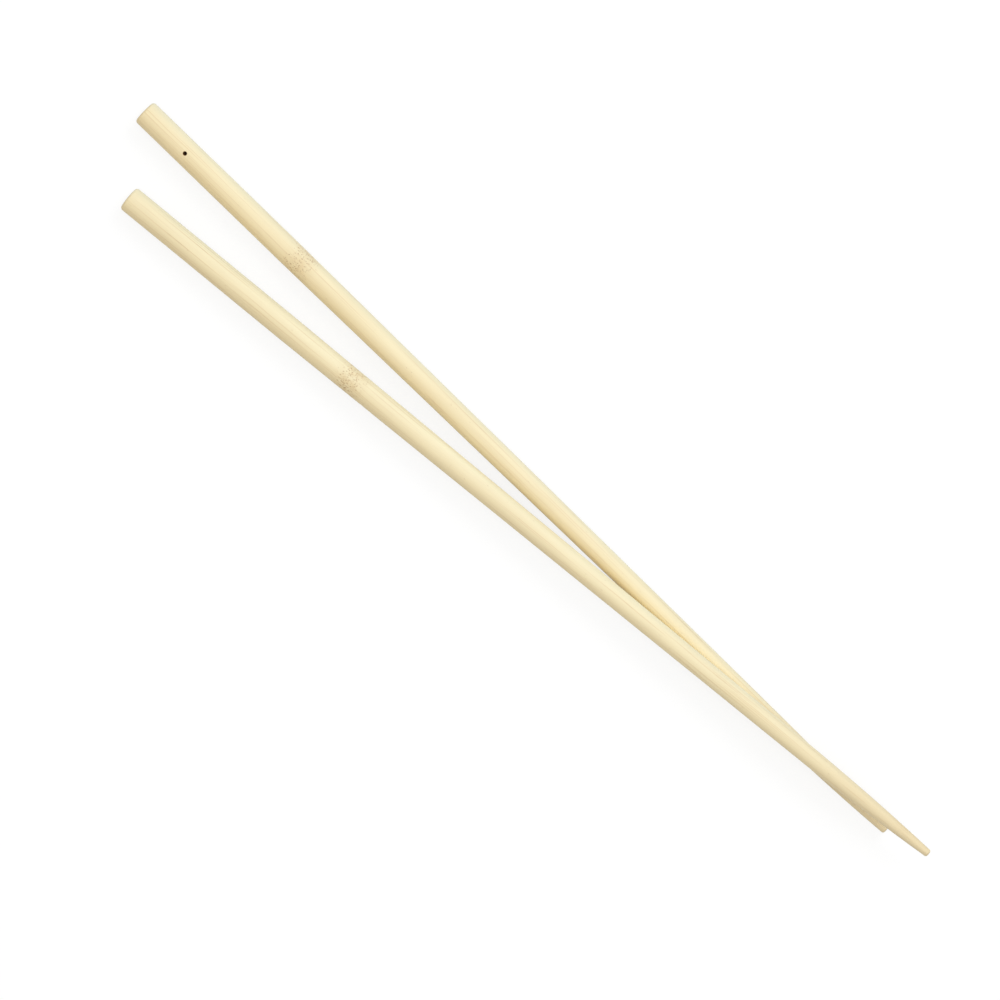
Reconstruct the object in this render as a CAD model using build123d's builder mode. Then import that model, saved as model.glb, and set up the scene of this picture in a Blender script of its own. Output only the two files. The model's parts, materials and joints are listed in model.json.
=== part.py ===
from build123d import *
import os
from math import atan2, cos, degrees, radians, sin, sqrt, tan

# A pair of long bamboo chopsticks, put down crossed near their points.
# Both are turned to one drawing: a straight grip, a long taper, and a point that
# curves in to a small blunt tip. A cord hole goes right through near the butt.
# X runs from the butts to the points, Z is up, and the pair lies on Z = 0.
# Lengths are in millimetres and angles in degrees.

# One stick, with stretches measured along it
stick_length = 420.0
grip_length = 83.0
point_length = 63.0
grip_diameter = 10.9
point_diameter = 7.6
tip_diameter = 3.2
butt_edge_radius = 1.2
tip_edge_radius = 0.9
hole_diameter = 1.6
hole_from_butt = 24.0

# How the pair lies. A crossing is measured from that stick's own butt, and a roll
# turns that stick's hole away from straight up, towards the top stick's side.
crossing_angle = 4.77
bottom_crossing = 376.0
top_crossing = 357.5
bottom_roll = 8.5
top_roll = 90.0
resting_gap = 0.1

grip_radius = grip_diameter / 2
point_radius = point_diameter / 2
tip_radius = tip_diameter / 2
point_start = stick_length - point_length
taper_angle = degrees(atan2(grip_radius - point_radius, point_start - grip_length))


def point_arc():
    """Centre and radius of the arc that runs on from the taper and ends at the tip."""
    start = Vector(point_start, point_radius)
    chord = Vector(stick_length, tip_radius) - start
    inward = Vector(-sin(radians(taper_angle)), -cos(radians(taper_angle)))
    arc_radius = chord.length**2 / (2 * chord.dot(inward))
    return start + inward * arc_radius, arc_radius


def stick_radius(along):
    """Radius of a stick at a distance from its butt, before its edges are rounded."""
    if along < grip_length:
        return grip_radius
    if along < point_start:
        return grip_radius - (along - grip_length) * tan(radians(taper_angle))
    centre, arc_radius = point_arc()
    return centre.Y + sqrt(arc_radius**2 - (along - centre.X) ** 2)


# The crossing seen from above puts the middle of the pair's outline on the origin
half_angle = crossing_angle / 2
reach_back = max(bottom_crossing, top_crossing)
reach_ahead = stick_length - min(bottom_crossing, top_crossing)
crossing = Vector(
    (reach_back - reach_ahead) / 2 * cos(radians(half_angle)),
    (top_crossing - bottom_crossing) / 2 * sin(radians(half_angle)),
)


def heading(turn, rise):
    """Direction turned from X seen from above, then lifted from level."""
    return Vector(1, 0, 0).rotate(Axis.Y, -rise).rotate(Axis.Z, turn)


def lie_of(turn, rise, roll, from_butt, height):
    """Plane of a stick: origin at its butt's middle, X along it, Z along its hole."""
    forward = heading(turn, rise)
    butt = crossing - heading(turn, 0) * from_butt + Vector(0, 0, height)
    hole_way = heading(turn, rise + 90).rotate(Axis((0, 0, 0), forward), roll)
    return Plane(butt, x_dir=forward, z_dir=hole_way)


def bottom_stick_lie():
    """The bottom stick rests on its whole taper, so its grip is just off the floor."""
    tilt = radians(taper_angle)
    height = grip_radius * cos(tilt) + grip_length * sin(tilt)
    return lie_of(-half_angle, -taper_angle, bottom_roll, bottom_crossing, height)


def top_stick_lie(rise):
    """The top stick stands on its butt's rounded edge and rises towards its point."""
    tilt = radians(rise)
    level_part = (grip_radius - butt_edge_radius) * cos(tilt)
    height = level_part + butt_edge_radius * (1 - sin(tilt))
    return lie_of(half_angle, rise, top_roll, top_crossing, height)


def gap_between(lower, upper):
    """Least distance between the surfaces of two sticks, sampled along the lower one."""
    gaps = []
    for along in range(int(stick_length)):
        offset = lower.origin + lower.x_dir * along - upper.origin
        across = offset.dot(upper.x_dir)
        if 0 <= across <= stick_length:
            apart = (offset - upper.x_dir * across).length
            gaps.append(apart - stick_radius(along) - stick_radius(across))
    return min(gaps)


def resting_rise():
    """Rise at which the top stick comes down on the bottom one, found by halving."""
    low, high = 0.0, 10.0
    while high - low > 1e-5:
        middle = (low + high) / 2
        if gap_between(bottom_lie, top_stick_lie(middle)) < resting_gap:
            low = middle
        else:
            high = middle
    return high


bottom_lie = bottom_stick_lie()
top_lie = top_stick_lie(resting_rise())

os.makedirs("parts", exist_ok=True)

for name, lie in (("bottom_chopstick", bottom_lie), ("top_chopstick", top_lie)):
    with BuildPart(lie) as chopstick:
        with BuildSketch(lie):
            with BuildLine():
                Polyline(
                    (0, 0),
                    (0, grip_radius),
                    (grip_length, grip_radius),
                    (point_start, point_radius),
                )
                point_middle = point_start + point_length / 2
                ThreePointArc(
                    (point_start, point_radius),
                    (point_middle, stick_radius(point_middle)),
                    (stick_length, tip_radius),
                )
                Polyline((stick_length, tip_radius), (stick_length, 0), (0, 0))
            make_face()
        stick_axis = Axis(lie.origin, lie.x_dir)
        revolve(axis=stick_axis)
        rims = chopstick.edges().filter_by(GeomType.CIRCLE).sort_by(stick_axis)
        fillet(rims[0], radius=butt_edge_radius)
        fillet(rims[-1], radius=tip_edge_radius)
        with Locations((hole_from_butt, 0, 0)):
            Hole(hole_diameter / 2)
    chopstick.part.label = name
    export_step(chopstick.part, f"parts/{name}.step")
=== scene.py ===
import json
import math
from collections import namedtuple

import bmesh
import bpy
import numpy as np
from bpy.props import (
    FloatProperty,
    FloatVectorProperty,
    IntProperty,
    PointerProperty,
    StringProperty,
)
from mathutils import Matrix, Vector, noise


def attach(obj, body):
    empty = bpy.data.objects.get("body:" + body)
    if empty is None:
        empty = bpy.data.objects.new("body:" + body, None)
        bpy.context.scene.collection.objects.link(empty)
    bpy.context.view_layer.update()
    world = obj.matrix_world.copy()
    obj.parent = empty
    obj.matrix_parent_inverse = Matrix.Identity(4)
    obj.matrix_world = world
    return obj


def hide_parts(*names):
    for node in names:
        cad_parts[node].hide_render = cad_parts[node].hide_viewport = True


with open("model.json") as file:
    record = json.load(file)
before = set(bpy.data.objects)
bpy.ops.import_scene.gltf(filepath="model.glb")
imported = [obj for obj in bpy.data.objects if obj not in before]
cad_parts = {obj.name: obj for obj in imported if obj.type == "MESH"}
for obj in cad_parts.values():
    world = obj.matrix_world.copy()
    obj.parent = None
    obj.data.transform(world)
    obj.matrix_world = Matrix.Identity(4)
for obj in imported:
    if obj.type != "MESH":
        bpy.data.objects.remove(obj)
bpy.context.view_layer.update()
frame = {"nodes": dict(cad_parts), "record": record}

# A pair of turned bamboo chopsticks. Each stick is meshed finely along its own
# axis and finished as bamboo: vascular bundles that show as streaks on the side
# and as dots on the cut ends, a joint of the culm, and a drilled cord hole.

bl_info = {
    "name": "Bamboo Chopsticks",
    "version": (1, 0, 0),
    "blender": (4, 5, 0),
    "location": "View3D > Sidebar > Chopsticks",
    "description": "Finishes a pair of turned bamboo chopsticks and lights them",
    "category": "Object",
}

MM = 0.001
BODY = "root"
PICTURE_PIXELS = 1000
SHARP_FROM = math.radians(50)
WHITE = (1.0, 1.0, 1.0)


class StickForm(bpy.types.PropertyGroup):
    """Sizes that a stick's solid doesn't state, and how finely it is meshed."""

    grip_length: FloatProperty(
        name="Grip length", description="Straight stretch from the butt",
        default=83 * MM, unit="LENGTH",
    )
    point_length: FloatProperty(
        name="Point length", description="Stretch that curves in to the tip",
        default=63 * MM, unit="LENGTH",
    )
    point_diameter: FloatProperty(
        name="Point diameter", description="Thickness where the point begins",
        default=7.6 * MM, unit="LENGTH",
    )
    tip_diameter: FloatProperty(
        name="Tip diameter", description="Thickness at the very end",
        default=3.2 * MM, unit="LENGTH",
    )
    butt_edge: FloatProperty(
        name="Butt edge", description="Radius of the rounded edge of the butt",
        default=1.2 * MM, unit="LENGTH",
    )
    tip_edge: FloatProperty(
        name="Tip edge", description="Radius of the rounded edge of the tip",
        default=0.9 * MM, unit="LENGTH",
    )
    mouth_flare: FloatProperty(
        name="Mouth flare", description="How far the drilled hole's edge is eased open",
        default=0.16 * MM, unit="LENGTH",
    )
    sanding_depth: FloatProperty(
        name="Sanding depth", description="Most that hand sanding takes off the turned side",
        default=0.05 * MM, unit="LENGTH",
    )
    ring_gap: FloatProperty(
        name="Ring gap", description="Distance between the rings of the mesh",
        default=1.5 * MM, unit="LENGTH",
    )
    facets: IntProperty(
        name="Facets", description="Faces round the stick", default=128, min=24,
    )


class BambooFinish(bpy.types.PropertyGroup):
    """Colours and grain of the bamboo."""

    flesh: FloatVectorProperty(
        name="Flesh", description="Pale ground between the bundles",
        subtype="COLOR", size=3, min=0, max=1, default=(0.965, 0.935, 0.69),
    )
    # Warmer ground towards the culm's skin. It has the hue of a shaded side, and where the culm turn
    # lays it on the shaded side it is painted warm shade
    skin_side: FloatVectorProperty(
        name="Skin side", description="Ground where the stick lay nearest the culm's skin",
        subtype="COLOR", size=3, min=0, max=1, default=(0.96, 0.785, 0.455),
    )
    bundle: FloatVectorProperty(
        name="Bundle", description="Tan fibre round each vascular bundle",
        subtype="COLOR", size=3, min=0, max=1, default=(0.70, 0.49, 0.24),
    )
    pore: FloatVectorProperty(
        name="Pore", description="Brown of the vessels at the middle of a bundle",
        subtype="COLOR", size=3, min=0, max=1, default=(0.44, 0.235, 0.08),
    )
    point_tan: FloatVectorProperty(
        name="Point tan", description="Warmer tone that the points take",
        subtype="COLOR", size=3, min=0, max=1, default=(0.80, 0.63, 0.37),
    )
    # Brown of the drilled wall and of a thin rim round the mouth: partly the drill's brown, partly
    # painted shade of the deep hole
    hole_wall: FloatVectorProperty(
        name="Hole wall", description="Brown that the drill leaves in the hole",
        subtype="COLOR", size=3, min=0, max=1, default=(0.30, 0.145, 0.05),
    )
    outer_spacing: FloatProperty(
        name="Outer spacing", description="Distance between bundles near the culm's skin",
        default=0.55 * MM, unit="LENGTH",
    )
    inner_spacing: FloatProperty(
        name="Inner spacing", description="Distance between bundles near the culm's hollow",
        default=1.15 * MM, unit="LENGTH",
    )
    bundle_length: FloatProperty(
        name="Bundle length", description="How far a streak runs before it fades",
        default=90 * MM, unit="LENGTH",
    )
    joint_length: FloatProperty(
        name="Joint length", description="Length of the mottled band at a joint of the culm",
        default=19 * MM, unit="LENGTH",
    )
    roughness: FloatProperty(
        name="Roughness", description="Roughness of the sanded side",
        subtype="FACTOR", min=0, max=1, default=0.5,
    )
    streak_share: FloatProperty(
        name="Streak share", description="How strongly the bundles show on the side",
        subtype="FACTOR", min=0, max=1, default=0.38,
    )
    end_share: FloatProperty(
        name="End share", description="How much more strongly the bundles show on a cut end",
        subtype="FACTOR", min=0, max=1, default=0.45,
    )
    hair_share: FloatProperty(
        name="Hair share", description="How strongly the hair-fine grain shows",
        subtype="FACTOR", min=0, max=1, default=0.16,
    )
    pore_share: FloatProperty(
        name="Pore share", description="How strongly the vessels of the bundles show",
        subtype="FACTOR", min=0, max=1, default=0.42,
    )
    fleck_share: FloatProperty(
        name="Fleck share", description="How strongly the short brown flecks show",
        subtype="FACTOR", min=0, max=1, default=0.6,
    )
    knot_share: FloatProperty(
        name="Knot share", description="How strongly the knots of a joint show",
        subtype="FACTOR", min=0, max=1, default=0.66,
    )
    point_share: FloatProperty(
        name="Point share", description="How strongly the tips take their warmer tone",
        subtype="FACTOR", min=0, max=1, default=0.55,
    )
    point_fade: FloatProperty(
        name="Point fade", description="Length before the tip over which the warmer tone comes in",
        default=110 * MM, unit="LENGTH",
    )


class StudioStage(bpy.types.PropertyGroup):
    """Camera, placed by where the pair lies in the photograph, and light."""

    stick_pixels: FloatProperty(
        name="Stick pixels", description="Length of a stick in the photograph",
        default=1034.0,
    )
    crossing_pixel: FloatVectorProperty(
        name="Crossing pixel", description="Where the two axes cross in the photograph",
        size=2, default=(808.4, 755.4),
    )
    slope: FloatProperty(
        name="Slope", description="How far the pair slopes down to the right",
        subtype="ANGLE", default=math.radians(41.73),
    )
    camera_height: FloatProperty(
        name="Camera height", description="Height of the camera over the floor",
        default=2.4, unit="LENGTH",
    )
    sky: FloatProperty(
        name="Sky", description="Strength of the even light from all round", default=0.62,
    )
    key: FloatProperty(
        name="Key", description="Power of the large lamp beside the pair",
        default=5.7, unit="POWER",
    )
    overhead: FloatProperty(
        name="Overhead", description="Power of the wide lamp over the pair",
        default=17.0, unit="POWER",
    )
    paper_bounce: FloatProperty(
        name="Paper bounce", description="Share of the light that the paper throws back",
        subtype="FACTOR", min=0, max=1, default=0.45,
    )
    paper_shadow: FloatProperty(
        name="Paper shadow", description="How strongly the pair's shadow shows on the paper",
        subtype="FACTOR", min=0, max=1, default=0.26,
    )
    paper_glow: FloatProperty(
        name="Paper glow", description="Even light that keeps the paper white", default=0.78,
    )


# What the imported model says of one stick
Stick = namedtuple("Stick", "lie length radius hole_at hole_radius")


def stick_of(node):
    """Measures a solid. Its lie has its origin at the butt, X along it and Z along its hole.
    The record's mount gives a point of the axis, and the solid's corners give both ends."""
    tip_slice = 0.1 * MM
    refinements = 4
    mount_name = node.replace("chopstick", "cord_hole")
    mount = next(m for m in frame["record"]["mounts"] if m["name"] == mount_name)
    on_axis = np.array(mount["pos_m"])

    # Corners rounded to a micrometre, so that one shared by faces counts once
    corners = np.array([corner.co for corner in frame["nodes"][node].data.vertices])
    corners = np.unique(corners.round(6), axis=0)

    # The corners furthest forward ring the tip, and their middle is on the axis
    forward = np.array((1.0, 0.0, 0.0))
    for _ in range(refinements):
        reach = (corners - on_axis) @ forward
        tip = corners[reach > reach.max() - tip_slice].mean(axis=0)
        forward = (tip - on_axis) / np.linalg.norm(tip - on_axis)
    reach = (corners - on_axis) @ forward
    along = Vector(forward)
    side = Vector(mount["axis"]).cross(along).normalized()
    lie = Matrix((along, side, along.cross(side))).transposed().to_4x4()
    lie.translation = Vector(on_axis + forward * reach.min())
    dims = mount["dims"]
    radius = dims["length_mm"] / 2 * MM
    return Stick(lie, float(np.ptp(reach)), radius, -float(reach.min()), dims["r_mm"] * MM)


def radius_along(form, stick, along):
    """Radius at a distance from the butt: grip, taper, then an arc that meets the tip."""
    point_start = stick.length - form.point_length
    point_radius = form.point_diameter / 2
    slope = (stick.radius - point_radius) / (point_start - form.grip_length)
    if along < form.grip_length:
        return stick.radius
    if along < point_start:
        return stick.radius - slope * (along - form.grip_length)
    inward = Vector((-slope, -1)).normalized()
    start = Vector((point_start, point_radius))
    chord = Vector((stick.length, form.tip_diameter / 2)) - start
    arc_radius = chord.length_squared / (2 * chord.dot(inward))
    centre = start + inward * arc_radius
    return centre.y + math.sqrt(arc_radius**2 - (along - centre.x) ** 2)


def stick_outline(form, stick):
    """Points (along, radius) of the outline, from the butt's middle to the tip's."""
    rounding_steps = 8
    butt_rings = (0.0, 0.3, 0.6, 0.85)
    turns = [math.pi / 2 * step / rounding_steps for step in range(rounding_steps + 1)]
    butt_flat = stick.radius - form.butt_edge
    outline = [(0.0, butt_flat * share) for share in butt_rings]
    for turn in turns:
        along = form.butt_edge * (1 - math.cos(turn))
        outline.append((along, butt_flat + form.butt_edge * math.sin(turn)))
    last = stick.length - form.tip_edge
    rings = round((last - form.butt_edge) / form.ring_gap)
    for ring in range(1, rings + 1):
        along = form.butt_edge + (last - form.butt_edge) * ring / rings
        outline.append((along, radius_along(form, stick, along)))
    tip_flat = outline[-1][1] - form.tip_edge
    for turn in turns[1:]:
        along = last + form.tip_edge * math.sin(turn)
        outline.append((along, tip_flat + form.tip_edge * math.cos(turn)))
    return outline + [(stick.length, 0.0)]


def turned_mesh(name, outline, facets, sanded=None):
    """Closed mesh of an outline turned about X. The outline's two ends are on the axis."""
    corners = []
    for along, radius in outline[1:-1]:
        for step in range(facets):
            turn = 2 * math.pi * step / facets
            outward = Vector((0, math.cos(turn), math.sin(turn)))
            taken_off = sanded(along, radius, outward) if sanded else 0.0
            corners.append(Vector((along, 0, 0)) + outward * (radius - taken_off))
    ends = [len(corners), len(corners) + 1]
    corners += [Vector((outline[0][0], 0, 0)), Vector((outline[-1][0], 0, 0))]
    faces = []
    rings = len(outline) - 2
    for step in range(facets):
        beside = (step + 1) % facets
        for low in range(0, (rings - 1) * facets, facets):
            high = low + facets
            faces.append((low + step, low + beside, high + beside, high + step))
        last = (rings - 1) * facets
        faces.append((ends[0], beside, step))
        faces.append((ends[1], last + step, last + beside))
    mesh = bpy.data.meshes.new(name)
    mesh.from_pydata(corners, [], faces)
    return mesh


def hand_sanding(form, seed):
    """Depth that sanding took off: shallow waves, long along the stick and short round it."""
    wave_length, ripple_length = 35 * MM, 9 * MM
    wave_breadth, ripples_in_wave = 2.2 * MM, 2.5
    full_depth_radius = 4 * MM

    def taken_off(along, radius, outward):
        around = outward * (radius / wave_breadth)
        wave = noise.noise(Vector((along / wave_length + seed, around.y, around.z)))
        around *= ripples_in_wave
        ripple = noise.noise(Vector((along / ripple_length - seed, around.y, around.z)))
        share = 0.5 + 0.5 * wave + 0.2 * ripple
        eased = min(1.0, radius / full_depth_radius)
        return form.sanding_depth * min(1.0, max(0.0, share)) * eased

    return taken_off


def hole_cutter(form, stick):
    """What the drill takes out: a cylinder along Z whose ends open out a little."""
    flare = form.mouth_flare
    mouth_depth = 2 * flare
    overshoot = 1 * MM
    profile = []
    for turn in (0, 30, 60, 90):
        angle = math.radians(turn)
        height = stick.radius - mouth_depth * (1 - math.sin(angle))
        profile.append((height, stick.hole_radius + flare * (1 - math.cos(angle))))
    profile.append((stick.radius + overshoot, stick.hole_radius + 3 * flare))
    outline = [(-height, radius) for height, radius in reversed(profile)] + profile
    outline = [(outline[0][0], 0.0), *outline, (outline[-1][0], 0.0)]
    cutter = turned_mesh("drill", outline, facets=40)
    cutter.transform(Matrix.Rotation(-math.pi / 2, 4, "Y"))
    cutter.transform(Matrix.Translation((stick.hole_at, 0, 0)))
    return cutter


def drilled(mesh, cutter):
    """The mesh with the cutter's shape taken out of it."""
    weld_gap = 0.003 * MM
    blank = bpy.data.objects.new("blank", mesh)
    tool = bpy.data.objects.new("tool", cutter)
    for made in (blank, tool):
        bpy.context.scene.collection.objects.link(made)
    cut = blank.modifiers.new("drill", "BOOLEAN")
    cut.operation = "DIFFERENCE"
    cut.solver = "EXACT"
    cut.object = tool
    depsgraph = bpy.context.evaluated_depsgraph_get()
    evaluated = blank.evaluated_get(depsgraph)
    result = bpy.data.meshes.new_from_object(evaluated, depsgraph=depsgraph)
    for made in (blank, tool):
        bpy.data.objects.remove(made)
    cleaned = bmesh.new()
    cleaned.from_mesh(result)
    bmesh.ops.remove_doubles(cleaned, verts=cleaned.verts, dist=weld_gap)
    bmesh.ops.dissolve_degenerate(cleaned, edges=cleaned.edges, dist=weld_gap)
    cleaned.to_mesh(result)
    cleaned.free()
    return result


def is_vector(value):
    """Whether a signal or a plain value holds three numbers, as a place or a colour does."""
    if isinstance(value, Signal):
        return value.socket.type != "VALUE"
    return not isinstance(value, (int, float))


class Signal:
    """A socket on its way through a shader. Arithmetic on it adds Math nodes."""

    def __init__(self, graph, socket):
        self.graph = graph
        self.socket = socket

    def output(self, name):
        """Another output of the same node."""
        return Signal(self.graph, self.socket.node.outputs[name])

    def work_out(self, operation, *operands):
        """Adds a Math node, or a Vector Math node where a place or a colour takes part."""
        if not any(is_vector(operand) for operand in operands):
            return self.graph.add("Math", {"operation": operation}, *operands)
        operands = [(o, o, o) if isinstance(o, (int, float)) else o for o in operands]
        return self.graph.add("VectorMath", {"operation": operation}, *operands)

    def __add__(self, other):
        return self.work_out("ADD", self, other)

    def __radd__(self, other):
        return self.work_out("ADD", other, self)

    def __sub__(self, other):
        return self.work_out("SUBTRACT", self, other)

    def __rsub__(self, other):
        return self.work_out("SUBTRACT", other, self)

    def __mul__(self, other):
        return self.work_out("MULTIPLY", self, other)

    def __rmul__(self, other):
        return self.work_out("MULTIPLY", other, self)

    def __truediv__(self, other):
        return self.work_out("DIVIDE", self, other)

    def __rtruediv__(self, other):
        return self.work_out("DIVIDE", other, self)

    def __pow__(self, other):
        return self.work_out("POWER", self, other)

    def __rpow__(self, other):
        return self.work_out("POWER", other, self)

    def __abs__(self):
        return self.work_out("ABSOLUTE", self)

    def at_least(self, other):
        """The larger of the two."""
        return self.work_out("MAXIMUM", self, other)


class ShaderGraph:
    """The nodes of one material or world."""

    def __init__(self, owner):
        owner.use_nodes = True
        self.tree = owner.node_tree
        self.tree.nodes.clear()

    def add(self, kind, settings=None, *values, **named):
        """Adds a node. Its settings come first, then its sockets, in order or by name."""
        node = self.tree.nodes.new("ShaderNode" + kind)
        for name, value in (settings or {}).items():
            setattr(node, name, value)
        slots = [slot for slot in node.inputs if slot.enabled]
        pairs = list(zip(slots, values))
        for name, value in named.items():
            label = name.replace("_", " ")
            pairs.append((next(slot for slot in slots if slot.name == label), value))
        for slot, value in pairs:
            if isinstance(value, Signal):
                self.tree.links.new(value.socket, slot)
            elif slot.type == "RGBA":
                slot.default_value = (*value, 1.0)
            else:
                slot.default_value = value
        outputs = [output for output in node.outputs if output.enabled]
        return Signal(self, outputs[0]) if outputs else None

    def rise(self, value, low, high):
        """Smooth step from 0 at low to 1 at high."""
        settings = {"interpolation_type": "SMOOTHSTEP"}
        return self.add("MapRange", settings, value, low, high, 0.0, 1.0)

    def fall(self, value, low, high):
        """Smooth step from 1 at low to 0 at high."""
        settings = {"interpolation_type": "SMOOTHSTEP"}
        return self.add("MapRange", settings, value, low, high, 1.0, 0.0)

    def tint(self, ground, colour, share):
        """Lays a share of a colour over the ground."""
        return self.add("Mix", {"data_type": "RGBA"}, share, ground, colour)

    def parts(self, vector):
        """The three numbers of a place or a colour."""
        first = self.add("SeparateXYZ", None, vector)
        return first, first.output("Y"), first.output("Z")

    def cloud(self, spot, detail=2.0, roughness=0.5):
        """Noise from about -0.5 to 0.5."""
        return self.add(
            "TexNoise", None, Vector=spot, Scale=1.0, Detail=detail, Roughness=roughness
        ) - 0.5

    def cells(self, spot, randomness=1.0):
        """Distance to the nearest of some scattered points. Its Color is each point's own."""
        return self.add("TexVoronoi", None, Vector=spot, Scale=1.0, Randomness=randomness)


def drawn_out(place, long, wide):
    """The place counted in marks that are this long and this wide, in millimetres."""
    return place / (long, wide, wide)


def bundle_cells(graph, stick, place, joint, culm_turn, seed):
    """Distance from a bundle's middle, in its own spacing, how near the culm's skin that is,
    and the swirl of the grain at the joint."""
    finish = bpy.context.scene.bamboo_finish
    along, side, up = graph.parts(place)
    grain_start = (seed, 0.0, 0.0)
    wander = graph.cloud(drawn_out(place, long=26.0, wide=5.0) + grain_start, detail=1.0)
    swirl = graph.cloud(drawn_out(place, long=3.5, wide=2.4) - grain_start) * joint

    # Millimetres towards the culm's skin and across that, with how far a bundle strays
    cosine, sine = math.cos(culm_turn), math.sin(culm_turn)
    depth = side * cosine + up * sine + wander * 0.8 + swirl * 2.4
    across = up * cosine - side * sine + wander * 0.5 - swirl * 1.6

    # Bundles lie closer together towards the skin
    near_skin = depth / (2 * stick.radius / MM) + 0.5
    outer, inner = finish.outer_spacing / MM, finish.inner_spacing / MM
    spacing = inner - near_skin * (inner - outer)
    run = along / (finish.bundle_length / MM) + seed
    spot = graph.add("CombineXYZ", None, run, across / spacing, depth / spacing)
    return graph.cells(spot, randomness=0.85), near_skin, swirl


def bamboo_material(name, stick, joint_at, culm_turn, seed):
    """Bamboo of one stick. All places in it are in millimetres from the butt's middle."""
    finish = bpy.context.scene.bamboo_finish
    length, hole_at, hole_radius = (
        size / MM for size in (stick.length, stick.hole_at, stick.hole_radius)
    )
    graph = ShaderGraph(bpy.data.materials.new(name))
    place = graph.add(
        "Mapping", {"vector_type": "TEXTURE"}, graph.add("TexCoord").output("Object"),
        Location=stick.lie.translation, Rotation=stick.lie.to_euler(), Scale=(MM, MM, MM),
    )
    along, side, _ = graph.parts(place)
    grain_start = (seed, 0.0, 0.0)

    # Where the joint, the cut ends and the hole are
    joint = graph.fall(abs(along - joint_at / MM), 0.0, finish.joint_length / MM / 2)
    butt_cut = graph.fall(along, 0.05, 0.8)
    tip_cut = graph.rise(along, length - 0.5, length - 0.05)
    cut = butt_cut.at_least(tip_cut)
    from_hole = ((along - hole_at) ** 2.0 + side**2.0) ** 0.5
    in_hole = graph.fall(from_hole, hole_radius + 0.02, hole_radius + 0.22)

    # Bundles: tan fibre round a thin brown vessel that comes and goes
    cells, near_skin, swirl = bundle_cells(graph, stick, place, joint, culm_turn, seed)
    fibre = graph.fall(cells, 0.10, 0.46)
    broken = graph.cloud(drawn_out(place, long=9.0, wide=0.9) - grain_start)
    pore = graph.fall(cells, 0.03, 0.13) * graph.rise(broken + cut, -0.02, 0.10)

    # Hair-fine grain between the bundles, and slow changes of tone
    hairs = drawn_out(place, long=14.0, wide=0.13) + grain_start
    hair = graph.cloud(hairs, detail=3.0, roughness=0.6)
    tone = graph.cloud(drawn_out(place, long=48.0, wide=3.4) + (0.0, seed, 0.0))

    # Short brown flecks, many at the joint and very few elsewhere
    flecks = graph.cells(drawn_out(place, long=1.3, wide=0.30) + grain_start)
    pick, _, _ = graph.parts(flecks.output("Color"))
    chosen = graph.rise(pick + joint * 0.34, 0.985, 1.0)
    fleck = graph.fall(flecks, 0.12, 0.40) * chosen

    # Knots of all sizes where bundles cross the joint, cut through by the turning
    bent = swirl * (3.0, 3.0, -3.0)
    knots = graph.cells(drawn_out(place, long=0.88, wide=0.56) + bent)
    pick, size, _ = graph.parts(knots.output("Color"))
    chosen = graph.rise(pick + joint * 0.8, 1.0, 1.3)
    knot = graph.fall(knots - size * 0.16, 0.05, 0.46) * chosen

    # Colours, from the ground up
    fibre_share = fibre * (cut * finish.end_share + finish.streak_share)
    near_tip = graph.rise(along, length - finish.point_fade / MM, length)
    # Skin-side ground: real culm tone, and painted warm shade where the culm turn lays it on the
    # shaded side
    colour = graph.tint(finish.flesh, finish.skin_side, near_skin)
    colour = graph.tint(colour, finish.bundle, fibre_share)
    colour = graph.tint(colour, finish.point_tan, tone * 0.5 + cut * 0.15 + 0.08)
    colour = graph.tint(colour, finish.point_tan, near_tip * finish.point_share)
    colour = graph.tint(colour, finish.bundle, joint * 0.2 + swirl * 0.8)
    colour = colour * (hair * (cut * 0.3 + finish.hair_share) + 1.0)
    colour = graph.tint(colour, finish.pore, pore * finish.pore_share)
    colour = graph.tint(colour, finish.pore, fleck * finish.fleck_share)
    colour = graph.tint(colour, finish.pore, knot * finish.knot_share)
    # Drilled wall and mouth rim: the drill's brown, darkened further as painted shade of the deep
    # hole
    colour = graph.tint(colour, finish.hole_wall, in_hole)

    # Sanded sides have a slight sheen, and cut ends and the hole have none
    roughness = hair * 0.18 - fibre * 0.06 + cut * 0.25 + in_hole * 0.4 + finish.roughness

    # Relief in millimetres: fibres and hairs stand up, and pores, flecks and knots sink in
    height = fibre * 0.012 + hair * 0.016 + swirl * 0.03 - pore * 0.03 - (fleck + knot) * 0.02
    bump = graph.add("Bump", None, Strength=1.0, Distance=MM, Height=height)
    surface = graph.add(
        "BsdfPrincipled", None,
        Base_Color=colour, Roughness=roughness, Normal=bump, Specular_IOR_Level=0.35,
    )
    graph.add("OutputMaterial", None, Surface=surface)
    return bpy.data.materials[name]


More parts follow.
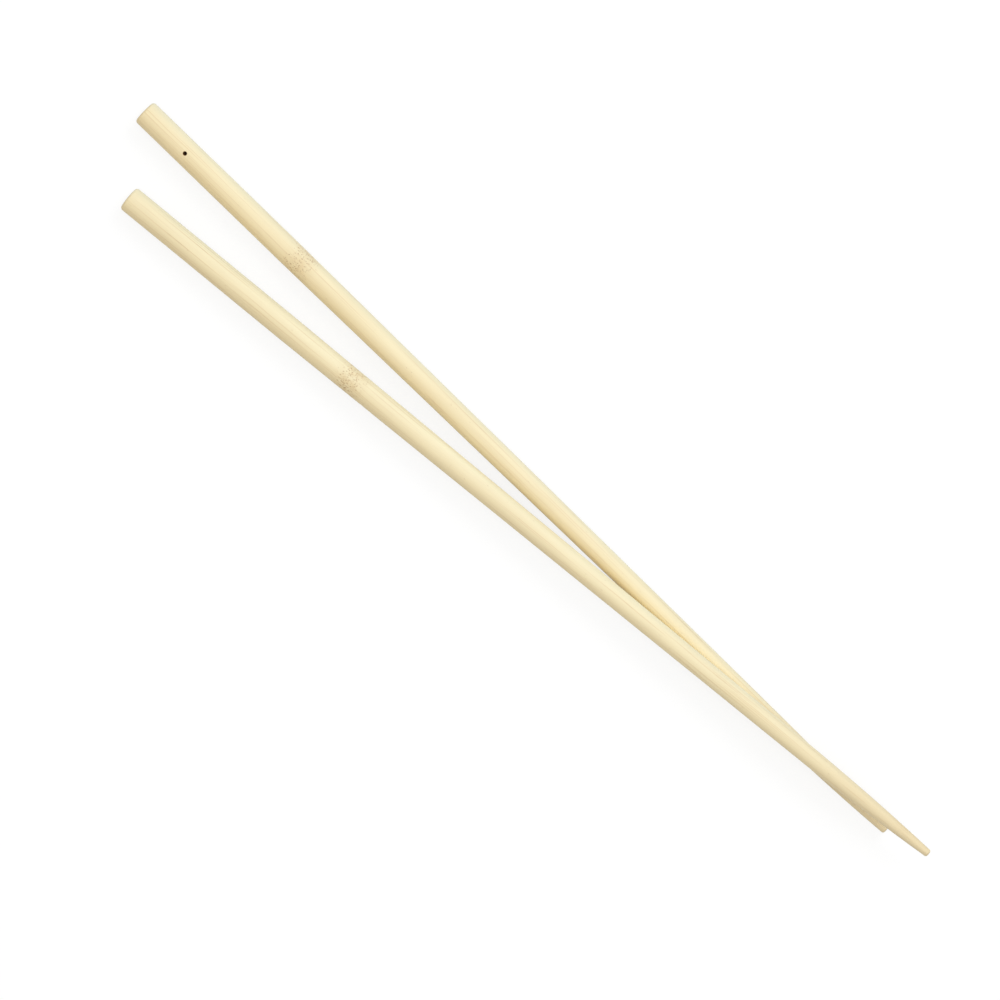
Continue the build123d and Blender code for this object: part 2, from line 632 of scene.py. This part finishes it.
class CHOPSTICKS_OT_finish_stick(bpy.types.Operator):
    """Mesh one chopstick finely, drill its hole and finish it as bamboo"""

    bl_idname = "chopsticks.finish_stick"
    bl_label = "Finish Chopstick"

    node: StringProperty(
        name="Node", description="The chopstick's solid", default="bottom_chopstick",
    )
    joint_at: FloatProperty(
        name="Joint", description="Distance of the culm's joint from the butt",
        default=88 * MM, unit="LENGTH",
    )
    culm_turn: FloatProperty(
        name="Culm turn", description="Which way round the stick faced the culm's skin",
        subtype="ANGLE", default=0.0,
    )
    seed: FloatProperty(name="Seed", description="Picks another piece of grain", default=0.0)

    def execute(self, context):
        form = context.scene.stick_form
        stick = stick_of(self.node)
        sanded = hand_sanding(form, self.seed)
        blank = turned_mesh("turned_blank", stick_outline(form, stick), form.facets, sanded)
        mesh = drilled(blank, hole_cutter(form, stick))
        mesh.name = self.node + "_bamboo"
        mesh.transform(stick.lie)
        mesh.shade_smooth()
        mesh.set_sharp_from_angle(angle=SHARP_FROM)
        grain = self.node + "_grain"
        mesh.materials.clear()
        mesh.materials.append(
            bamboo_material(grain, stick, self.joint_at, self.culm_turn, self.seed)
        )
        piece = bpy.data.objects.new(self.node + "_bamboo", mesh)
        context.scene.collection.objects.link(piece)
        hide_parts(self.node)
        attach(piece, BODY)
        return {"FINISHED"}


def axes_crossing(first, second):
    """Where two axes cross seen from above, halfway up between them."""
    start, way = first.translation, first.col[0].xyz
    other, other_way = second.translation, second.col[0].xyz
    apart = (other - start).xy
    spread = way.xy.cross(other_way.xy)
    on_first = start + way * (apart.cross(other_way.xy) / spread)
    on_second = other + other_way * (apart.cross(way.xy) / spread)
    return (on_first + on_second) / 2


def seen_directly(graph):
    """1 for what the camera sees straight, or in or through something glossy."""
    path = graph.add("LightPath")
    glossy = path.output("Is Glossy Ray")
    return path.output("Is Camera Ray").at_least(glossy).at_least(path.output("Is Transmission Ray"))


def white_paper(stage):
    """Pale paper that lights the sticks from below, and shows as white with a soft shadow."""
    paper = bpy.data.materials.new("white_paper")
    graph = ShaderGraph(paper)
    lighting = graph.add("BsdfDiffuse", None, Color=(stage.paper_bounce,) * 3)
    shadowed = graph.add("BsdfDiffuse", None, Color=(stage.paper_shadow,) * 3)
    glow = graph.add("Emission", None, Color=WHITE, Strength=stage.paper_glow)
    shown = graph.add("AddShader", None, shadowed, glow)
    surface = graph.add("MixShader", None, seen_directly(graph), lighting, shown)
    graph.add("OutputMaterial", None, Surface=surface)
    return paper


def studio_world(stage):
    """Even white light from all round, which the camera sees as plain white."""
    world = bpy.data.worlds.new("studio")
    graph = ShaderGraph(world)
    lighting = graph.add("Background", None, Color=WHITE, Strength=stage.sky)
    shown = graph.add("Background", None, Color=WHITE, Strength=1.0)
    surface = graph.add("MixShader", None, seen_directly(graph), lighting, shown)
    graph.add("OutputWorld", None, Surface=surface)
    return world


class CHOPSTICKS_OT_set_stage(bpy.types.Operator):
    """Lay a pale floor, light it softly and look straight down on the pair"""

    bl_idname = "chopsticks.set_stage"
    bl_label = "Set Stage"

    def execute(self, context):
        scene = context.scene
        stage = scene.studio_stage
        scene.view_settings.view_transform = "Standard"
        scene.world = studio_world(stage)
        self.lay_floor(scene, stage)
        self.hang_lamps(scene, stage)
        self.place_camera(scene, stage)
        return {"FINISHED"}

    def lay_floor(self, scene, stage):
        """A wide square of paper under the pair."""
        half = 6.0
        corners = [(-half, -half, 0), (half, -half, 0), (half, half, 0), (-half, half, 0)]
        mesh = bpy.data.meshes.new("floor")
        mesh.from_pydata(corners, [], [(0, 1, 2, 3)])
        mesh.materials.append(white_paper(stage))
        floor = bpy.data.objects.new("floor", mesh)
        scene.collection.objects.link(floor)

    def hang_lamps(self, scene, stage):
        """A large lamp to the photograph's upper right and a wide one high over the camera."""
        key_width, key_place = 0.9, (0.05, 1.05, 0.95)
        overhead_width, overhead_place = 1.6, (0.0, 0.0, 3.2)
        lamps = (
            ("key", stage.key, key_width, key_place),
            ("overhead", stage.overhead, overhead_width, overhead_place),
        )
        for name, power, width, place in lamps:
            lamp = bpy.data.lights.new(name, "AREA")
            lamp.shape = "DISK"
            lamp.size = width
            lamp.energy = power
            hung = bpy.data.objects.new(name, lamp)
            hung.location = place
            hung.rotation_euler = (-hung.location).to_track_quat("-Z", "Y").to_euler()
            scene.collection.objects.link(hung)

    def place_camera(self, scene, stage):
        """Straight down, so that the pair has the photograph's size, slope and place."""
        bottom, top = stick_of("bottom_chopstick"), stick_of("top_chopstick")
        crossing = axes_crossing(bottom.lie, top.lie)
        pixel = bottom.length / stage.stick_pixels
        right = Vector((math.cos(stage.slope), math.sin(stage.slope), 0))
        up = Vector((-math.sin(stage.slope), math.cos(stage.slope), 0))
        off_right, off_down = (place - PICTURE_PIXELS / 2 for place in stage.crossing_pixel)
        middle = crossing - (right * off_right - up * off_down) * pixel
        lens = bpy.data.cameras.new("camera")
        distance = stage.camera_height - crossing.z
        lens.lens = lens.sensor_width * distance / (PICTURE_PIXELS * pixel)
        camera = bpy.data.objects.new("camera", lens)
        turn = Matrix((right, up, (0, 0, 1))).transposed().to_4x4()
        camera.matrix_world = Matrix.Translation((middle.x, middle.y, stage.camera_height)) @ turn
        scene.collection.objects.link(camera)
        scene.camera = camera


class CHOPSTICKS_PT_panel(bpy.types.Panel):
    """Lists the sizes, colours and steps"""

    bl_label = "Chopsticks"
    bl_idname = "CHOPSTICKS_PT_panel"
    bl_space_type = "VIEW_3D"
    bl_region_type = "UI"
    bl_category = "Chopsticks"

    def draw(self, context):
        for title, name in GROUPS:
            group = getattr(context.scene, name)
            box = self.layout.box()
            box.label(text=title)
            for size in group.__annotations__:
                box.prop(group, size)
        for operator in (CHOPSTICKS_OT_finish_stick, CHOPSTICKS_OT_set_stage):
            self.layout.operator(operator.bl_idname)


GROUPS = {
    ("Form", "stick_form"): StickForm,
    ("Finish", "bamboo_finish"): BambooFinish,
    ("Stage", "studio_stage"): StudioStage,
}
CLASSES = (
    *GROUPS.values(),
    CHOPSTICKS_OT_finish_stick,
    CHOPSTICKS_OT_set_stage,
    CHOPSTICKS_PT_panel,
)


def register():
    for made in CLASSES:
        bpy.utils.register_class(made)
    for (title, name), group in GROUPS.items():
        setattr(bpy.types.Scene, name, PointerProperty(type=group, name=title))


def unregister():
    for title, name in GROUPS:
        delattr(bpy.types.Scene, name)
    for made in reversed(CLASSES):
        bpy.utils.unregister_class(made)


def main():
    register()
    # The culm turns lay the warm skin-side ground partly on the sticks' shaded sides, as painted
    # warm shade
    bpy.ops.chopsticks.finish_stick(
        node="bottom_chopstick", joint_at=88 * MM, culm_turn=math.radians(145), seed=2.3
    )
    bpy.ops.chopsticks.finish_stick(
        node="top_chopstick", joint_at=117 * MM, culm_turn=math.radians(75), seed=7.9
    )
    bpy.ops.chopsticks.set_stage()


if __name__ == "__main__":
    main()
